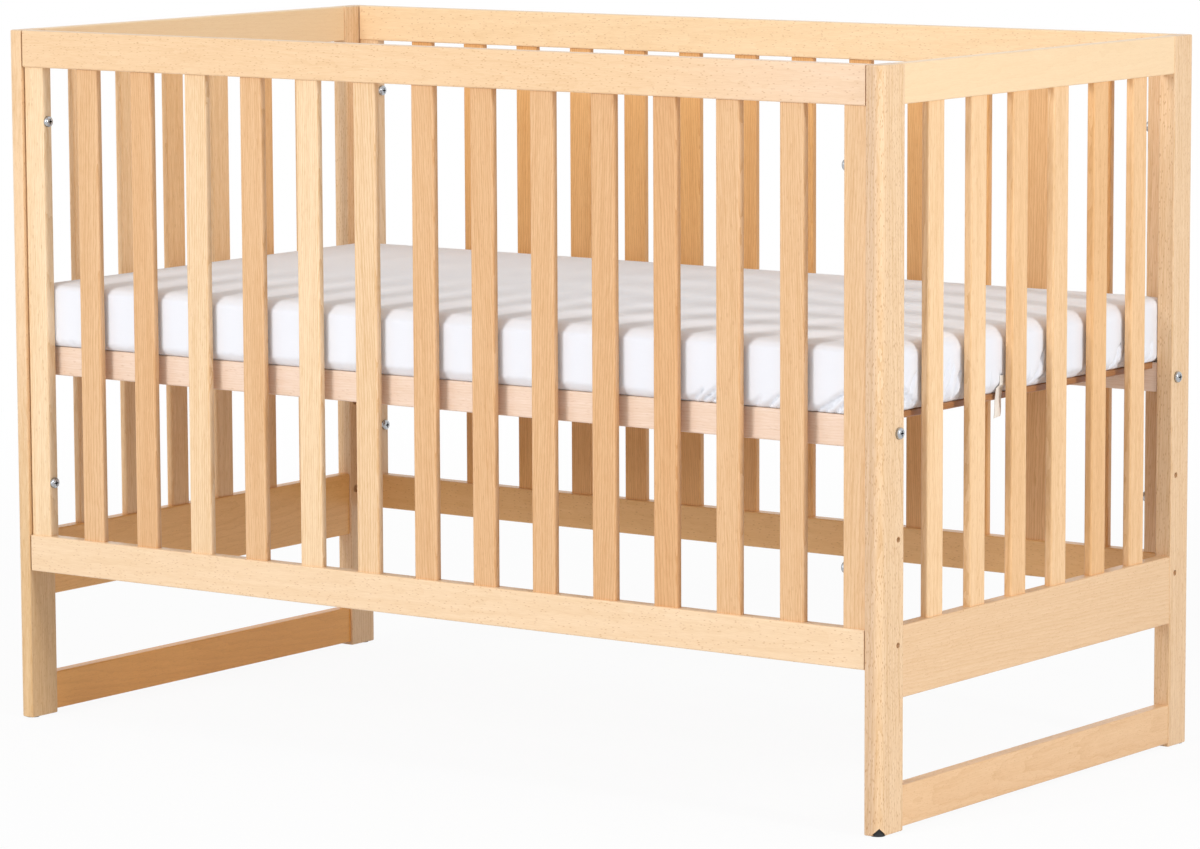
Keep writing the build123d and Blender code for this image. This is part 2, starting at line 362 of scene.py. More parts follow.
def stitch_cotton(name):
    """Twisted sewing cotton."""
    paint = Paint(name)
    _, y, z = paint.place()
    twist = ((y + z) * 5200.0).math("SINE")
    return paint.finish(
        Base_Color=paint.mix(twist * 0.5 + 0.5, colour(238, 232, 222), colour(214, 205, 192)),
        Roughness=twist * 0.05 + 0.7,
        Normal=paint.bump(twist, 0.00005, 0.6),
    )


# Dressing of the CAD nodes

def dress(node, material):
    """Give a node this material alone."""
    crib[node].data.materials.clear()
    crib[node].data.materials.append(material)


def middle(node):
    low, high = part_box(node)
    return (low + high) / 2


def board(node, grain, tone, seed, **look):
    """Give a node a beech of its own."""
    dress(node, beech(f"beech_{node}", grain, middle(node), tone, seed, **look))


def row_of_boards(node, axis, width, count):
    """Axis, pitch and middle of the first of the like boards in one node, for beech."""
    low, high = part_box(node)
    pitch = (high[axis] - low[axis] - width) / (count - 1)
    return axis, pitch, low[axis] + width / 2


# Posts: depth of tone, pith, flecks and, for a deeper face or foot, its tone and where that fades out
POSTS = {
    # front-left post: its deeper tone low down, fading out between 0.1 m and 0.5 m, is painted shade
    "front_left": (0.3, (0.0, 0.07), 0.3, (colour(224, 187, 138), Z, 0.1, 0.5)),
    # front-right post: its rosy grey front face is partly wood figure and partly painted shade
    "front_right": (0.25, (-0.05, 0.04), 0.95, (ROSY_GREY, X, 0.612, 0.6246)),
    "rear_left": (0.35, (0.06, 0.03), 0.5, None),
    "rear_right": (0.35, (0.05, -0.04), 0.6, None),
}
POST_LOOK = {"crowd": 0.9, "figure": 0.6, "fleck_run": 0.0075}
for seed, (corner, (depth, pith, flecks, deeper)) in enumerate(POSTS.items(), 1):
    tone = between(PALE, HONEY, depth)
    face = None
    if deeper:
        deep_tone, *change = deeper
        face = (*change, tone)
        tone = deep_tone
    board(f"{corner}_post", "Z", tone, seed, pith=pith, flecks=flecks, face=face, **POST_LOOK)

END_RAIL_TONES = {
    "left_end_top_rail": STRAW,
    "left_end_bottom_rail": colour(249, 195, 122),
    "left_end_foot_stretcher": colour(247, 182, 96),
    "right_end_top_rail": STRAW,
    "right_end_bottom_rail": colour(238, 200, 156),
    "right_end_foot_stretcher": between(WHEAT, AMBER, 0.35),
}
PLAIN_LOOK = {"flecks": 0.18, "figure": 0.1, "streaks": 0.2, "fibres": 0.5, "fleck_run": 0.006}
LIVELY_LOOK = {"flecks": 0.42, "figure": 0.3, "streaks": 0.5, "fibres": 0.9, "fleck_run": 0.006}
for seed, (node, tone) in enumerate(END_RAIL_TONES.items(), 11):
    look = PLAIN_LOOK if "top" in node else LIVELY_LOOK
    board(node, "Y", tone, seed, **look)

SIDE_RAIL_TONES = {
    "front_top_rail": colour(239, 204, 162),
    "front_bottom_rail": colour(244, 214, 177),
    "rear_top_rail": STRAW,
    "rear_bottom_rail": colour(236, 189, 128),
}
PALER_ENDS = {"front_top_rail": (X, 0.25, 0.6, colour(240, 209, 178))}
SIDE_RAIL_LOOK = {
    "flecks": 0.6, "crowd": 0.55, "fleck_run": 0.007, "fleck_wide": 0.0015,
    "figure": 0.16, "streaks": 0.5, "fibres": 0.9,
}
for seed, (node, tone) in enumerate(SIDE_RAIL_TONES.items(), 21):
    pith = (0.055, 0.012 - 0.02 * (seed % 2))
    board(node, "X", tone, seed, pith=pith, face=PALER_ENDS.get(node), **SIDE_RAIL_LOOK)

# Stiles and slats: tones from 0, pale, to 1, deep, and past those where a board stands out
STILE_TONES = {"front_left": -0.15, "front_right": 0.65, "rear_left": 0.3, "rear_right": 0.4}
for seed, (corner, depth) in enumerate(STILE_TONES.items(), 31):
    board(f"{corner}_stile", "Z", between(PALE, HONEY, depth), seed, flecks=0.25, figure=0.65)

FRONT_SLAT_TONES = (0.85, 1.0, 0.1, 0.85, 0.0, 0.3, 0.95, 1.0, 0.95, 1.05, 1.2, 0.85, 0.8)
REAR_SLAT_TONES = (0.6, 0.5, 0.7, 0.4, 0.6, 0.8, 0.5, 0.9, 0.7, 0.45, 0.6, -0.9, 0.5)
DEEP_TOFFEE = between(TOFFEE, CARAMEL, 0.6)
for side, tones, pale, deep, first_seed in (
    ("front", FRONT_SLAT_TONES, PALE, HONEY, 42),
    ("rear", REAR_SLAT_TONES, TOFFEE, DEEP_TOFFEE, 62),
):
    for number, depth in enumerate(tones):
        tone = between(pale, deep, depth)
        look = {"flecks": 0.12 + 0.1 * depth, "figure": 0.95}
        board(f"{side}_slat_{number + 1:02d}", "Z", tone, first_seed + number, **look)

END_SLAT_WIDTH = 0.032
END_SLAT_TONES = (0.0, 0.1, 0.6, 0.2, 1.0, 0.55)
end_tones = [between(colour(247, 208, 160), AMBER, depth) for depth in END_SLAT_TONES]
for seed, end in enumerate(("left", "right"), 90):
    node = f"{end}_end_slats"
    row = row_of_boards(node, Y, END_SLAT_WIDTH, len(end_tones))
    board(node, "Z", PALE, seed, pith=(0.0, 0.06), flecks=0.2, row=row, row_tones=end_tones, figure=0.6)

BASE_RAIL_LOOK = {"pith": (0.02, 0.07), "flecks": 0.25, "figure": 0.3, "streaks": 0.5, "fibres": 1.0}
for seed, side in enumerate(("front", "rear"), 95):
    node = f"base_{side}_rail"
    dress(node, beech(f"base_beech_{side}", "X", middle(node), ROSY, seed, **BASE_RAIL_LOOK))

BASE_SLAT_WIDTH = 0.05
BASE_SLATS = 12
# painted shade: the outermost base slats, under the ends of the mattress and behind the end slats, are
# darkened for the shadow they lie in
OUTER_SLAT_PAINTED_SHADE = colour(176, 124, 80)      # the first and the last slat are darker
base_tones = [
    between(colour(222, 182, 145), colour(204, 160, 120), 0.16 * (5 * i % 7)) for i in range(BASE_SLATS)
]
base_tones[0] = base_tones[-1] = OUTER_SLAT_PAINTED_SHADE
dress("base_slats", beech(
    "base_beech_slats", "Y", middle("base_slats"), ROSY, 98, pith=(0.05, 0.03), flecks=0.35,
    row=row_of_boards("base_slats", X, BASE_SLAT_WIDTH, BASE_SLATS), row_tones=base_tones,
))
dress("rail_dowels", beech("dowel_wood", "Y", middle("rail_dowels"), HONEY, 99, pith=(0.05, 0.03)))

bolt_zinc = zinc("bolt_zinc")
for node in ("panel_bolts", "base_bolts"):
    dress(node, bolt_zinc)
insert_zinc = zinc("insert_zinc")
for node in ("panel_inserts", "base_support_pegs"):
    dress(node, insert_zinc)
dress("foot_glides", glide_plastic("glide_plastic"))


# Mattress in its fitted sheet

MATTRESS_LOW, MATTRESS_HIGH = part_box("mattress")
END_PLUMP, SIDE_PLUMP = 0.0015, 0.002       # the sheet plumps the foam a little
HALF_SIZE = np.array((MATTRESS_HIGH.x + END_PLUMP, MATTRESS_HIGH.y + SIDE_PLUMP))
VERTICAL_EDGE = 0.016                       # radius of the upright edges
TIGHTEST_EDGE = 0.004                       # and the least radius of a ring drawn in from them
LONG_RUN, END_RUN = 2 * (HALF_SIZE - VERTICAL_EDGE)
BEND = VERTICAL_EDGE * math.pi / 2
HALF_HEM = LONG_RUN + END_RUN + 2 * BEND
RING_STEPS = (470, 440, 12)                 # along a long side, along an end, round a corner

# Profile of the sheet, from the middle of the underside to the middle of the top
UNDERSIDE_LEVEL = 0.0004
UNDERSIDE_INSETS = (0.299, 0.2, 0.1, 0.04, 0.014)
HEM_CURVE = ((0.0085, 0.0005), (0.0048, 0.0013), (0.0024, 0.0031), (0.0008, 0.0058))   # inset, height
SIDE_START, SIDE_STEP, SIDE_ROWS = 0.0090, 0.003, 20
EDGE_START, EDGE_DRAW, EDGE_RISE, EDGE_ROWS = 0.0660, 0.0085, 0.0088, 6
TOP_INSETS = (0.013, 0.022, 0.035, 0.055, 0.08, 0.11, 0.15, 0.2, 0.25, 0.299)
TOP_LEVEL = round(MATTRESS_HIGH.z - MATTRESS_LOW.z, 4)
TOP_CROWN = 0.0028
FIRST_HEM_ROW = len(UNDERSIDE_INSETS)
FIRST_TOP_ROW = FIRST_HEM_ROW + len(HEM_CURVE) + SIDE_ROWS + EDGE_ROWS


def sheet_profile():
    """Insets and heights of the sheet's rows."""
    rows = [(inset, UNDERSIDE_LEVEL) for inset in UNDERSIDE_INSETS]
    rows += HEM_CURVE
    rows += [(0.0, SIDE_START + SIDE_STEP * i) for i in range(SIDE_ROWS)]
    for i in range(1, EDGE_ROWS + 1):
        turn = math.radians(90 / EDGE_ROWS * i)
        rows.append((EDGE_DRAW * (1 - math.cos(turn)), EDGE_START + EDGE_RISE * math.sin(turn)))
    for i, inset in enumerate(TOP_INSETS, 1):
        rows.append((inset, TOP_LEVEL - TOP_CROWN * (1 - i / len(TOP_INSETS)) ** 2))
    return rows


def sheet_ring(inset):
    """A closed ring round the mattress, drawn in by the inset, and the way out at each of its points."""
    long_side, end_side, bend = RING_STEPS
    reach = HALF_SIZE - inset
    radius = min(max(VERTICAL_EDGE - inset * 0.5, TIGHTEST_EDGE), reach.min())
    corners = np.array(((-1, -1), (1, -1), (1, 1), (-1, 1))) * (reach - radius)
    spots, ways = [], []
    for k in range(4):
        turn = math.radians(90 * k - 90)
        count = end_side if k % 2 else long_side
        out = np.array((math.cos(turn), math.sin(turn)))
        share = (np.arange(count) / count)[:, None]
        after = corners[(k + 1) % 4]
        spots.append(corners[k] * (1 - share) + after * share + radius * out)
        ways.append(np.repeat(out[None], count, 0))
        turns = turn + np.arange(bend) / bend * math.pi / 2
        arc = np.stack((np.cos(turns), np.sin(turns)), 1)
        spots.append(after + radius * arc)
        ways.append(arc)
    return np.concatenate(spots), np.concatenate(ways)


# Cloth simulation of the sheet, on some of its rows and on every fourth column of points
SIM_ROWS = [1, 2, 4, 5, 6, 7, 8, *range(9, 44, 2)]
COLUMN_STEP = 4
HELD_BELOW, HELD_ABOVE = 4, 5       # simulated rows that the foam holds, under the mattress and on top
SPARE_ROWS = range(4, 17)           # simulated rows with cloth to spare
SPARE_HEIGHT = 0.06                 # the spare cloth runs out at this height
SPARE_SHARE = 0.12
SIM_STEPS = 20
SIM_REACH = 0.0042                  # no point moves further
CORNER_HOLD, CORNER_HOLD_REACH = 0.8, 0.05      # the cloth moves less near the upright edges
SMOOTHING = (1, 2, 3, 4, 3, 2, 1)


def loose_sheet(start):
    """Coarse copy of the sheet as a cloth.

    The underside and the flat top are held by the foam, pressure tightens the sides, and the cloth
    over the hem is a little too long, so it puckers.
    """
    rows, count, _ = start.shape
    number = np.arange(rows * count).reshape(rows, count)
    faces = []
    for r in range(rows - 1):
        after = np.roll(number[r : r + 2], -1, 1)
        faces += np.stack((number[r], after[0], after[1], number[r + 1]), 1).tolist()
    mesh = bpy.data.meshes.new("loose_sheet")
    mesh.from_pydata(start.reshape(-1, 3).tolist(), [], faces)
    sheet = add("loose_sheet", mesh)
    held = sheet.vertex_groups.new(name="held")
    held_points = number[:HELD_BELOW].ravel().tolist() + number[-HELD_ABOVE:].ravel().tolist()
    held.add(held_points, 1.0, "REPLACE")
    spare = sheet.vertex_groups.new(name="spare")
    for r in SPARE_ROWS:
        height = start[r, 0, 2] - MATTRESS_LOW.z
        spare.add(number[r].tolist(), max(0.0, 1 - height / SPARE_HEIGHT) ** 1.5, "REPLACE")
    cloth = sheet.modifiers.new("sheet", "CLOTH")
    rule = cloth.settings
    rule.quality = 4
    rule.mass = 0.12
    rule.tension_stiffness = rule.compression_stiffness = 60
    rule.shear_stiffness = 20
    rule.bending_stiffness = 0.02
    rule.use_pressure = True
    rule.uniform_pressure_force = 0.8
    rule.vertex_group_mass = "held"
    rule.vertex_group_shrink = "spare"
    rule.shrink_min, rule.shrink_max = 0.0, -SPARE_SHARE
    rule.effector_weights.gravity = 0.0
    cloth.collision_settings.use_collision = False
    cloth.point_cache.frame_start, cloth.point_cache.frame_end = 1, SIM_STEPS
    return sheet


def settled_cloth(points):
    """How far the simulated cloth moves each point of the sheet."""
    start = points[SIM_ROWS][:, ::COLUMN_STEP]
    rows, count, _ = start.shape
    sheet = loose_sheet(start)
    for step in range(1, SIM_STEPS + 1):
        bpy.context.scene.frame_set(step)
    after = np.empty(rows * count * 3)
    settled = sheet.evaluated_get(bpy.context.evaluated_depsgraph_get())
    settled.data.vertices.foreach_get("co", after)
    bpy.context.scene.frame_set(1)
    bpy.data.objects.remove(sheet)
    move = after.reshape(rows, count, 3) - start
    far = np.linalg.norm(move, axis=2, keepdims=True)
    move *= np.minimum(1.0, SIM_REACH / np.maximum(far, 1e-9))
    all_rows, all_columns = points.shape[:2]
    sim_columns = np.arange(0, all_columns + 1, COLUMN_STEP)
    spread = np.empty((rows, all_columns, 3))
    full = np.empty_like(points)
    for axis in (X, Y, Z):
        for r in range(rows):
            closed = np.append(move[r, :, axis], move[r, 0, axis])
            spread[r, :, axis] = np.interp(np.arange(all_columns), sim_columns, closed)
        for c in range(all_columns):
            full[:, c, axis] = np.interp(np.arange(all_rows), SIM_ROWS, spread[:, c, axis])
    half = len(SMOOTHING) // 2
    turned = (np.roll(full, k, 1) * weight for k, weight in zip(range(-half, half + 1), SMOOTHING))
    return sum(turned) / sum(SMOOTHING)


# Pleats that the elastic hem draws in: stronger at the ends and near the corners
END_PULL, SIDE_PULL, CORNER_PULL = 1.0, 0.22, 0.5
CORNER_REACH = 0.07
PLEAT_WIDTH = (0.0018, 0.0036)
PLEAT_EXTRA_WIDTH = 0.0012          # on the long sides
PLEAT_HEIGHT = (0.010, 0.030)
PLEAT_DEPTH = (0.0015, 0.0060)
PLEAT_LEAN = (-0.5, 0.5)
PLEAT_GAP = (0.006, 0.018)
HEM_LEVEL = 0.004                   # the pleats fade out below this height
ROLL_LEVEL, ROLL_HEIGHT = 0.011, 0.009      # the cloth rolls out on both sides of a pleat
ROLL_ASIDE, ROLL_WIDTH, ROLL_SHARE = 0.006, 0.005, 0.35

# Single folds that run up from the hem: place along it, lean, lowest and highest point, depth
HEM_FOLDS = (
    (0.950, 1.0, -0.001, 0.022, 0.0028),
    (0.961, 1.3, -0.001, 0.026, 0.0033),
    (0.974, 1.0, -0.001, 0.021, 0.0028),
    (1.032, 0.8, -0.001, 0.020, 0.0023),
    (1.050, 1.0, -0.001, 0.024, 0.0028),
    (1.112, 1.6, -0.001, 0.030, 0.0037),
    (1.123, 1.3, -0.001, 0.026, 0.0033),
    (1.138, 1.0, -0.001, 0.023, 0.0030),
    (1.277, -1.5, 0.006, 0.042, 0.0034),
    (1.262, -1.2, 0.003, 0.026, 0.0026),
    (1.243, 0.5, 0.002, 0.045, 0.0022),
    (1.315, 0.35, 0.002, 0.052, 0.0026),
    (1.328, 0.3, 0.002, 0.046, 0.0022),
    (1.341, 0.4, 0.002, 0.04, 0.0026),
    (1.355, 0.2, 0.002, 0.034, 0.002),
    (1.445, -0.3, 0.002, 0.03, 0.0016),
    (1.512, 0.5, 0.002, 0.044, 0.0026),
    (1.526, 0.7, 0.002, 0.036, 0.0026),
    (1.685, 0.6, 0.002, 0.036, 0.0022),
    (1.703, 0.4, 0.002, 0.03, 0.002),
    (3.10, 0.8, 0.002, 0.036, 0.0022),
    (3.42, -1.1, 0.004, 0.04, 0.0028),
)
FOLD_START, FOLD_END = 0.006, 0.008         # heights over which a fold deepens and runs out
FOLD_CUT, FOLD_WIDTH = 2.7, 0.003           # the crease, as a multiple of the fold's depth
LIP_RISE, LIP_ASIDE, LIP_WIDTH = 0.7, 0.007, 0.004      # the lip beside it

# Puckers over the hem, slack waves higher up and creases on top, each within these ranges
PUCKERS, WAVES, CREASES = 60, 30, 9
PUCKER_LEVEL, PUCKER_HEIGHT = (0.008, 0.03), (0.006, 0.012)
PUCKER_LEAN, PUCKER_WIDTH, PUCKER_RISE = (-0.8, 0.8), (0.006, 0.014), (-0.0052, 0.0026)
SIDE_PUCKER_SHARE = 0.25            # the long sides pucker less than the ends
WAVE_LEVEL, WAVE_HEIGHT = (0.02, 0.06), 0.022
WAVE_LEAN, WAVE_WIDTH, WAVE_RISE = (-0.6, 0.6), (0.008, 0.03), (-0.0012, 0.0012)
CREASE_LANE, CREASE_TILT, CREASE_WIDTH = (-0.22, 0.22), (-0.05, 0.05), (0.008, 0.02)
CREASE_MIDDLE, CREASE_REACH, CREASE_DEPTH = (-0.35, 0.45), 0.3, 0.0007
END_BULGE = 0.0026                  # room for the sheet to swell at the ends, between the posts
BULGE_FADE = (0.266, 0.285)         # distance from the middle over which that room ends


def bell(distance, width):
    return np.exp(-((distance / width) ** 2))


def hem_pleats(length, chance):
    """Pleats all along the hem: place, width, depth, height, lean."""
    pleats = []
    place = 0.0
    while place < length:
        spot = place % HALF_HEM
        on_end = spot > LONG_RUN
        corner_near = min(spot, abs(spot - LONG_RUN), HALF_HEM - spot)
        pull = (END_PULL if on_end else SIDE_PULL) + CORNER_PULL * bell(corner_near, CORNER_REACH)
        width = chance.uniform(*PLEAT_WIDTH) + (0.0 if on_end else PLEAT_EXTRA_WIDTH)
        height = chance.uniform(*PLEAT_HEIGHT) * (0.4 + 0.7 * pull)
        depth = chance.uniform(*PLEAT_DEPTH) * pull
        pleats.append((place, width, depth, height, chance.uniform(*PLEAT_LEAN)))
        place += chance.uniform(*PLEAT_GAP)
    return pleats


def side_folds(along, lift, chance):
    """How far out each point of the sides moves, for pleats, puckers, waves and folds.

    along is the measure round the hem, and lift the height of each row.
    """
    length = along[-1]
    places = along[None, :-1]

    def aside(place, lean):
        """Distance along the hem from a place that leans with height."""
        away = places - place - lean * lift
        return (away + length / 2) % length - length / 2

    move = np.zeros((len(lift), places.size))
    for place, width, depth, height, lean in hem_pleats(length, chance):
        fade = bell(lift, height) * np.clip(lift / HEM_LEVEL, 0, 1)
        away = np.abs(aside(place, lean))
        move -= depth * fade * np.exp(-away / width)
        roll = bell(lift - ROLL_LEVEL, ROLL_HEIGHT) * bell(away - ROLL_ASIDE, ROLL_WIDTH)
        move += ROLL_SHARE * depth * roll
    strength = np.where(places % HALF_HEM > LONG_RUN, 1.0, SIDE_PUCKER_SHARE)
    for _ in range(PUCKERS):
        band = bell(lift - chance.uniform(*PUCKER_LEVEL), chance.uniform(*PUCKER_HEIGHT))
        away = aside(chance.uniform(0, length), chance.uniform(*PUCKER_LEAN))
        pucker = bell(away, chance.uniform(*PUCKER_WIDTH))
        move += chance.uniform(*PUCKER_RISE) * band * pucker * strength
    for _ in range(WAVES):
        band = bell(lift - chance.uniform(*WAVE_LEVEL), WAVE_HEIGHT)
        away = aside(chance.uniform(0, length), chance.uniform(*WAVE_LEAN))
        wave = bell(away, chance.uniform(*WAVE_WIDTH))
        move += chance.uniform(*WAVE_RISE) * band * wave
    for place, lean, low_end, high_end, depth in HEM_FOLDS:
        reach = np.clip((lift - low_end) / FOLD_START, 0, 1)
        reach *= np.clip((high_end - lift) / FOLD_END, 0, 1)
        away = aside(place, lean)
        move -= FOLD_CUT * depth * reach * np.exp(-np.abs(away) / FOLD_WIDTH)
        move += LIP_RISE * depth * reach * bell(away - LIP_ASIDE, LIP_WIDTH)
    move[:FIRST_HEM_ROW] = 0.0
    move[FIRST_TOP_ROW + 1 :] = 0.0
    return move


def crease_top(top, chance):
    """Press soft creases along the mattress into the rows of its top."""
    x, y = top[..., 0], top[..., 1]
    for _ in range(CREASES):
        lane, tilt = chance.uniform(*CREASE_LANE), chance.uniform(*CREASE_TILT)
        wide, centre = chance.uniform(*CREASE_WIDTH), chance.uniform(*CREASE_MIDDLE)
        reach = bell(x - centre, CREASE_REACH)
        top[..., 2] -= CREASE_DEPTH * reach * bell(y - lane - tilt * x, wide)


def sheet_points():
    """Points of the sheet, row by row, and their measure along the hem in metres.

    The top edge is tight, the hem gathers the sides, and soft creases lie on top.
    """
    profile = sheet_profile()
    rings = [sheet_ring(inset) for inset, _ in profile]
    ways = rings[0][1]
    count = len(ways)
    points = np.array([
        np.column_stack((ring[0], np.full(count, MATTRESS_LOW.z + height)))
        for ring, (_, height) in zip(rings, profile)
    ])
    hem = sheet_ring(0.0)[0]
    steps = np.linalg.norm(np.roll(hem, -1, 0) - hem, axis=1)
    along = np.concatenate(((0.0,), np.cumsum(steps)))
    lift = np.array([height for _, height in profile])[:, None]
    to_corner = np.linalg.norm(np.abs(hem) - HALF_SIZE, axis=1)
    ease = 1 - CORNER_HOLD * bell(to_corner, CORNER_HOLD_REACH)
    points += settled_cloth(points) * ease[None, :, None]
    chance = random.Random(17)
    points[..., :2] += side_folds(along, lift, chance)[..., None] * ways[None]
    bulge = np.interp(np.abs(points[..., 1]), BULGE_FADE, (END_BULGE, 0.0))
    points[..., 0] = np.clip(points[..., 0], -HALF_SIZE[0] - bulge, HALF_SIZE[0] + bulge)
    points[..., 1] = np.clip(points[..., 1], -HALF_SIZE[1], HALF_SIZE[1])
    crease_top(points[FIRST_TOP_ROW + 1 :], chance)
    return points, along


def wrap_sheet(name, points, along):
    """Closed mesh over the rings, with the cloth's own measure in metres as its UV map."""
    rows, count, _ = points.shape
    number = np.arange(rows * count).reshape(rows, count)
    faces, spots = [], []
    x, y, z = points[..., 0], points[..., 1], points[..., 2]
    for r in range(rows - 1):
        side = FIRST_HEM_ROW <= r < FIRST_TOP_ROW
        for c in range(count):
            n = (c + 1) % count
            faces.append((number[r, c], number[r, n], number[r + 1, n], number[r + 1, c]))
            if side:
                a, b = along[c], along[c + 1]
                spots += [(a, z[r, c]), (b, z[r, n]), (b, z[r + 1, n]), (a, z[r + 1, c])]
            else:
                spots += [(x[i, j], y[i, j]) for i, j in ((r, c), (r, n), (r + 1, n), (r + 1, c))]
    mesh = bpy.data.meshes.new(name)
    mesh.from_pydata(points.reshape(-1, 3).tolist(), [], [tuple(map(int, f)) for f in faces])
    cloth = mesh.uv_layers.new(name="cloth")
    cloth.data.foreach_set("uv", np.array(spots).ravel())
    shape = bmesh.new()
    shape.from_mesh(mesh)
    bmesh.ops.remove_doubles(shape, verts=shape.verts, dist=0.00005)
    bmesh.ops.holes_fill(shape, edges=[e for e in shape.edges if e.is_boundary])
    shape.to_mesh(mesh)
    shape.free()
    mesh.shade_smooth()
    return add(name, mesh)


SHEET_LIGHT = (0.89, 0.9, 0.945, 1.0)
SHEET_SHADE = (0.845, 0.855, 0.905, 1.0)
# painted light: the top of the sheet is paler and warmer than its sides, for the light that falls there
SHEET_PAINTED_TOP_TONE = (0.975, 0.955, 0.955, 1.0)
SHEET_THREAD = 0.0007
mattress = wrap_sheet("sheeted_mattress", *sheet_points())
mattress.data.materials.append(
    woven("sheet_cotton", SHEET_LIGHT, SHEET_SHADE, SHEET_THREAD, 0.85, SHEET_PAINTED_TOP_TONE)
)
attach(mattress, "mattress")
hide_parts("mattress")


# Tie tape at the mattress's right end

TAPE_WIDTH, TAPE_THICK = 0.012, 0.0008
TAPE_ROWS, TAPE_COLUMNS = 48, 8
TAPE_LIFT = 0.003                   # how far the tape starts above its CAD solid
TAPE_CLEAR = 0.0004                 # between the tape and the cloth behind it
TAPE_FLAT = 0.3                     # share of the tape, from the top, that lies flat
TAPE_DRIFT = 0.005                  # how far its free end drifts towards the front
TAPE_BOW, TAPE_TWIST, TAPE_SKEW = 0.0006, 0.0007, 0.0015
LOWEST_SHEET = 0.006                # height on the mattress below which the tape hangs free
RAY_START = 0.05                    # outside the tape, from where the cloth behind it is found
THREAD_RADIUS, THREAD_SIDES = 0.00022, 8
STITCH_ARCH = np.array((-0.0002, 0.0001, 0.0002, 0.0001, -0.0002))      # a stitch's rise over the tape
STITCH_ROWS = range(1, 9)
STITCH_COLUMNS = ((1, 4), (4, 7))


def tape_points():
    """Points of the tape's front and back, row by row, and their measure on the tape in metres.

    The tape bridges the sheet's folds, and below the mattress it hangs free.
    """
    low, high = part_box("mattress_tie_tape")
    drop = high.z - low.z
    mid = high.y - TAPE_WIDTH / 2
    cloth = BVHTree.FromObject(mattress, bpy.context.evaluated_depsgraph_get())
    across = [c / TAPE_COLUMNS for c in range(TAPE_COLUMNS + 1)]
    front, back, spots = [], [], []
    for r in range(TAPE_ROWS + 1):
        share = r / TAPE_ROWS
        free = max(0.0, (share - TAPE_FLAT) / (1 - TAPE_FLAT))
        z = high.z + TAPE_LIFT - drop * share
        centre = mid - TAPE_DRIFT * free ** 1.6
        bow = TAPE_BOW * math.sin(share * 9.0) * free
        ys = [centre + TAPE_WIDTH * (t - 0.5) for t in across]
        level = max(z, MATTRESS_LOW.z + LOWEST_SHEET)
        starts = [Vector((high.x + RAY_START, y, level)) for y in ys]
        rest = max(cloth.ray_cast(start, Vector((-1, 0, 0)))[0].x for start in starts)
        for t, y in zip(across, ys):
            x = rest + TAPE_CLEAR + bow + TAPE_TWIST * free * (t - 0.5)
            front.append(Vector((x + TAPE_THICK, y, z + TAPE_SKEW * t * free)))
            back.append(Vector((x, y, z + TAPE_SKEW * t * free)))
            spots.append((TAPE_WIDTH * t, share * drop))
    return front, back, spots


def tie_tape():
    """Woven tape sewn to the sheet over the hem, as a closed strip, and the points of its front."""
    front, back, spots = tape_points()
    span = TAPE_COLUMNS + 1
    total = len(front)
    faces = []
    for r in range(TAPE_ROWS):
        for c in range(TAPE_COLUMNS):
            a = r * span + c
            faces.append((a, a + span, a + span + 1, a + 1))
            faces.append((a + total, a + 1 + total, a + span + 1 + total, a + span + total))
    rim = [r * span for r in range(TAPE_ROWS + 1)]
    rim += [TAPE_ROWS * span + c for c in range(1, span)]
    rim += [r * span + TAPE_COLUMNS for r in range(TAPE_ROWS - 1, -1, -1)]
    rim += range(TAPE_COLUMNS - 1, 0, -1)
    for a, b in zip(rim, rim[1:] + rim[:1]):
        faces.append((a, a + total, b + total, b))
    mesh = bpy.data.meshes.new("tie_tape")
    mesh.from_pydata([tuple(v) for v in front + back], [], faces)
    cloth_map = mesh.uv_layers.new(name="cloth")
    for loop in mesh.loops:
        cloth_map.data[loop.index].uv = spots[loop.vertex_index % total]
    shape = bmesh.new()
    shape.from_mesh(mesh)
    bmesh.ops.recalc_face_normals(shape, faces=shape.faces)
    shape.to_mesh(mesh)
    shape.free()
    return add("tie_tape", mesh), np.array(front).reshape(TAPE_ROWS + 1, span, 3)


def thread_tree(name, material):
    """Geometry Nodes that wrap a round thread about every run of edges."""
    tree = bpy.data.node_groups.new(name, "GeometryNodeTree")
    for label, kind, way in (
        ("Stitches", "NodeSocketGeometry", "INPUT"),
        ("Thread Radius", "NodeSocketFloat", "INPUT"),
        ("Thread Sides", "NodeSocketInt", "INPUT"),
        ("Thread", "NodeSocketGeometry", "OUTPUT"),
    ):
        tree.interface.new_socket(label, in_out=way, socket_type=kind)
    start = tree.nodes.new("NodeGroupInput")
    runs = tree.nodes.new("GeometryNodeMeshToCurve")
    ring = tree.nodes.new("GeometryNodeCurvePrimitiveCircle")
    tube = tree.nodes.new("GeometryNodeCurveToMesh")
    smooth = tree.nodes.new("GeometryNodeSetShadeSmooth")
    real = tree.nodes.new("GeometryNodeRealizeInstances")
    dye = tree.nodes.new("GeometryNodeSetMaterial")
    end = tree.nodes.new("NodeGroupOutput")
    tube.inputs["Fill Caps"].default_value = True
    dye.inputs["Material"].default_value = material
    for out, into in (
        (start.outputs["Stitches"], runs.inputs[0]),
        (start.outputs["Thread Radius"], ring.inputs["Radius"]),
        (start.outputs["Thread Sides"], ring.inputs["Resolution"]),
        (runs.outputs[0], tube.inputs["Curve"]),
        (ring.outputs[0], tube.inputs["Profile Curve"]),
        (tube.outputs[0], smooth.inputs[0]),
        (smooth.outputs[0], real.inputs[0]),
        (real.outputs[0], dye.inputs[0]),
        (dye.outputs[0], end.inputs[0]),
    ):
        tree.links.new(out, into)
    return tree


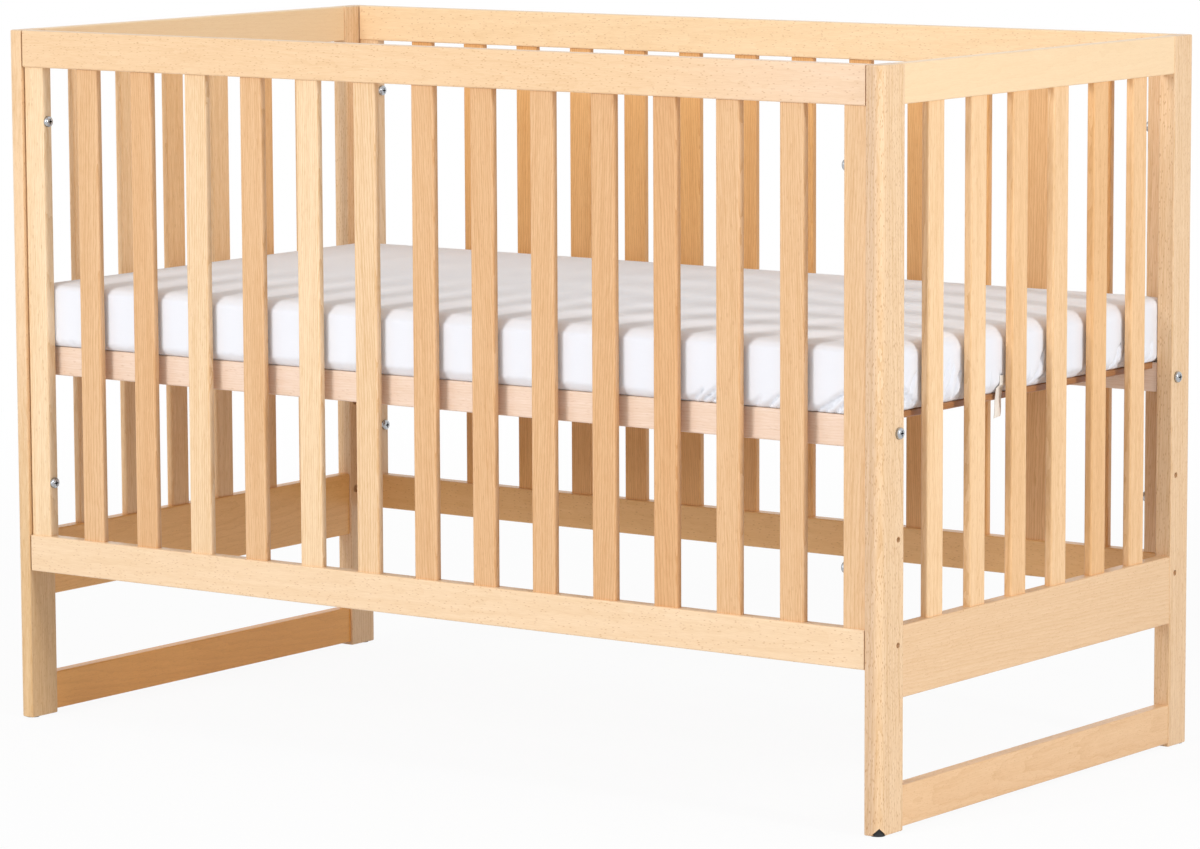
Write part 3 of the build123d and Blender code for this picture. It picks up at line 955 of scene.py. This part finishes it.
def tape_stitches(face, material):
    """Two zigzag columns of stitches that sew the top of the tape to the sheet."""
    spots, runs = [], []
    share = np.linspace(0, 1, len(STITCH_ARCH))[:, None]
    for row in STITCH_ROWS:
        lean = row % 2
        for first, last in STITCH_COLUMNS:
            line = face[row + lean, first] * (1 - share) + face[row + 1 - lean, last] * share
            line[:, 0] += STITCH_ARCH
            runs += [(len(spots) + i, len(spots) + i + 1) for i in range(len(STITCH_ARCH) - 1)]
            spots += line.tolist()
    mesh = bpy.data.meshes.new("stitch_lines")
    mesh.from_pydata(spots, runs, [])
    piece = add("tape_stitches", mesh)
    tree = thread_tree("stitch_thread", material)
    sew = piece.modifiers.new("sew", "NODES")
    sew.node_group = tree
    sizes = {"Thread Radius": THREAD_RADIUS, "Thread Sides": THREAD_SIDES}
    for item in tree.interface.items_tree:
        if item.name in sizes:
            sew[item.identifier] = sizes[item.name]
    sewn = bpy.data.meshes.new_from_object(piece.evaluated_get(bpy.context.evaluated_depsgraph_get()))
    piece.modifiers.remove(sew)
    piece.data = sewn
    return piece


TAPE_LIGHT = colour(254, 250, 242)
TAPE_SHADE = colour(240, 231, 218)
TAPE_THREAD = 0.0009
tape, tape_face = tie_tape()
tape.data.materials.append(woven("tape_cotton", TAPE_LIGHT, TAPE_SHADE, TAPE_THREAD, 0.8))
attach(tape, "mattress")
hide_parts("mattress_tie_tape")
stitches = tape_stitches(tape_face, stitch_cotton("stitch_cotton"))
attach(stitches, "mattress")


# Stage, light and camera

WHITE = (1.0, 1.0, 1.0, 1.0)
FLOOR_GREY = (0.82, 0.82, 0.82, 1.0)
FLOOR_SIZE, FLOOR_LEVEL = 60.0, -0.0004
FLOOR_GLOW = 0.93                   # share of plain white in the floor's look near the crib
FADE_START, FADE_END = 1.0, 3.2     # distance over which the rest of it turns white too
LAMP_TINT = (0.96, 0.98, 1.0)
FILL_TINT = (0.965, 0.98, 1.0, 1.0)
LEVEL_FILL, OVERHEAD_FILL = 0.43, 0.75
CAMERA_SPOT = Vector((3.695342, -5.077089, 1.201087))
CAMERA_YAW, CAMERA_PITCH, CAMERA_ROLL = 0.628003, 0.131624, -0.004285       # radians
FOCAL_PIXELS, PHOTO_WIDTH = 5304.294, 1200
SENSOR_WIDTH = 36.0                 # millimetres


def stage_floor():
    """Pale floor that keeps a soft shadow and fades into the white background."""
    paint = Paint("studio_floor")
    x, y, _ = paint.place()
    far = paint.step((x * x + y * y).math("SQRT"), FADE_START, FADE_END)
    share = paint.seen() * (far * (1 - FLOOR_GLOW) + FLOOR_GLOW)
    matt = paint.node("BsdfDiffuse", {}, {"Color": FLOOR_GREY})
    glow = paint.node("Emission", {}, {"Color": WHITE, "Strength": 1.0})
    both = paint.node("MixShader", {}, {0: share, 1: matt, 2: glow})
    paint.feed(paint.nodes["Material Output"], {"Surface": both})
    bpy.ops.mesh.primitive_plane_add(size=FLOOR_SIZE, location=(0.0, 0.0, FLOOR_LEVEL))
    floor = bpy.context.object
    floor.name = "studio_floor"
    floor.data.materials.append(paint.material)


def studio_world():
    """Surroundings that light the object plainly, more from overhead, and look white to the camera."""
    world = bpy.data.worlds.new("studio")
    bpy.context.scene.world = world
    sky = Shading(world)
    seen = sky.seen()
    height = sky.split(sky.node("TexCoord", {}, {}, "Generated"))[Z]
    fill = sky.node("MapRange", {}, {"Value": height, "To Min": LEVEL_FILL, "To Max": OVERHEAD_FILL})
    strength = sky.node("MapRange", {}, {"Value": seen, "To Min": fill, "To Max": 1.0})
    sky.feed(sky.nodes["Background"], {"Color": sky.mix(seen, FILL_TINT, WHITE), "Strength": strength})


def soft_box(name, spot, target, size, power):
    """Upright soft lamp aimed at a point."""
    lamp = bpy.data.lights.new(name, "AREA")
    lamp.shape = "RECTANGLE"
    lamp.size, lamp.size_y = size
    lamp.energy = power
    lamp.color = LAMP_TINT
    holder = add(name, lamp)
    holder.location = spot
    holder.rotation_euler = (Vector(target) - Vector(spot)).to_track_quat("-Z", "Y").to_euler()


def photo_camera():
    """Camera fitted to the photograph: long lens, front right, a little above the top rails."""
    level_reach = math.cos(CAMERA_PITCH)
    ahead = Vector((
        -math.sin(CAMERA_YAW) * level_reach, math.cos(CAMERA_YAW) * level_reach, -math.sin(CAMERA_PITCH),
    ))
    level = Vector((math.cos(CAMERA_YAW), math.sin(CAMERA_YAW), 0.0))
    right = level * math.cos(CAMERA_ROLL) + level.cross(ahead) * math.sin(CAMERA_ROLL)
    up = right.cross(ahead)
    data = bpy.data.cameras.new("photo_camera")
    data.sensor_width = SENSOR_WIDTH
    data.lens = FOCAL_PIXELS / PHOTO_WIDTH * SENSOR_WIDTH
    data.clip_end = 100.0
    camera = add("photo_camera", data)
    turn = Matrix((right, up, -ahead)).transposed().to_4x4()
    camera.matrix_world = Matrix.Translation(CAMERA_SPOT) @ turn
    bpy.context.scene.camera = camera


bpy.context.scene.view_settings.view_transform = "Standard"
stage_floor()
studio_world()
soft_box("key_box", spot=(-0.9, -6.1, 2.7), target=(0.0, 0.0, 0.5), size=(1.5, 2.0), power=196.0)
soft_box("end_strip", spot=(3.7, -0.6, 1.6), target=(0.5, 0.0, 0.5), size=(0.36, 1.1), power=49.0)
photo_camera()
